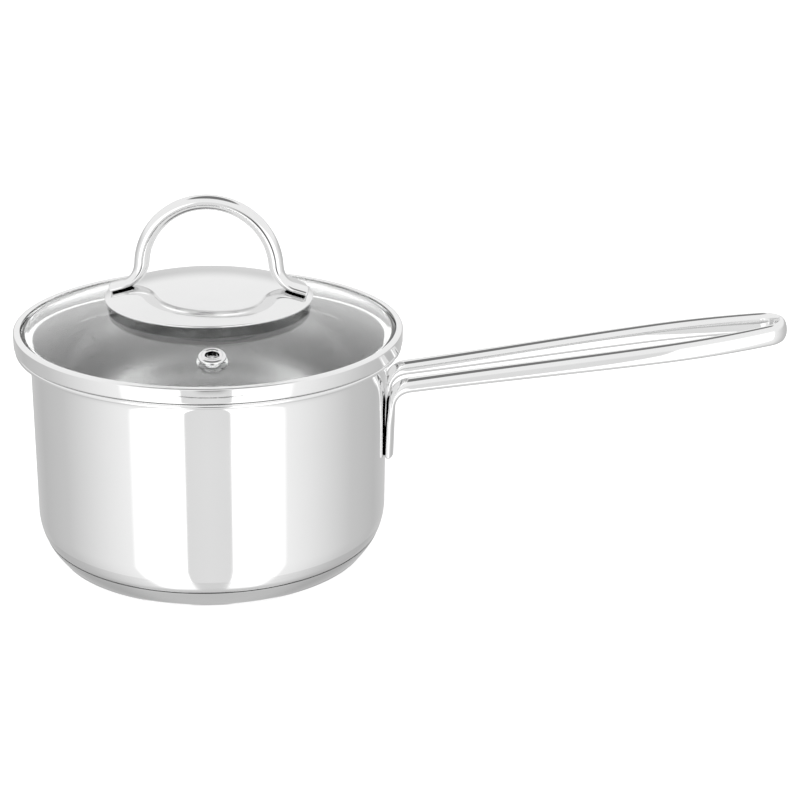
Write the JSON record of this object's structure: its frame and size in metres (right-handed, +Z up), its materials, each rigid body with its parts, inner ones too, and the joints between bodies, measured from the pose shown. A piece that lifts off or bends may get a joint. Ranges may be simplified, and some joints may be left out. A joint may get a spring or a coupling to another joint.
{
  "type": "saucepan with glass lid",
  "caption": "Small polished steel saucepan with a looped rod handle, an encapsulated base and a domed glass lid with a steam vent and an arched rod knob.",
  "frame": {"origin": "on the pan's axis, at the underside of the base", "axes": "+Z up along the pan's axis, +X along the long handle"},
  "size_m": [0.3566, 0.1762, 0.1666],
  "materials": {
    "polished_steel": "mirror-polished stainless steel",
    "base_steel": "fine-turned stainless steel",
    "core_aluminium": "plain aluminium",
    "handle_steel": "polished stainless steel",
    "ring_steel": "polished stainless steel",
    "eyelet_steel": "polished stainless steel",
    "knob_steel": "polished stainless steel",
    "plate_steel": "polished stainless steel",
    "fastener_steel": "plain stainless steel",
    "lid_glass": "clear tempered glass",
    "silicone": "translucent pale silicone"
  },
  "bodies": {
    "pan": {"pot_body": "polished_steel", "base_core": "core_aluminium", "base_cap": "base_steel", "long_handle": "handle_steel"},
    "lid_rim": {"lid_rim_ring": "ring_steel"},
    "lid": {"lid_glass": "lid_glass", "vent_eyelet": "eyelet_steel", "vent_washer": "fastener_steel", "knob_loop": "knob_steel", "knob_plate": "plate_steel", "knob_boss": "fastener_steel", "upper_gasket": "silicone", "lower_gasket": "silicone", "cup_washer": "fastener_steel", "spring_washer": "fastener_steel", "lid_screw": "fastener_steel"}
  },
  "joints": [
    {"name": "lid_lift", "type": "slide", "parent": "pan", "child": "lid_rim", "axis": [0, 0, 1], "range_m": [0, 0.15]},
    {"name": "lid_turn", "type": "hinge", "parent": "lid_rim", "child": "lid", "pos_m": [0, 0, 0.105], "axis": [0, 0, 1], "continuous": true}
  ]
}
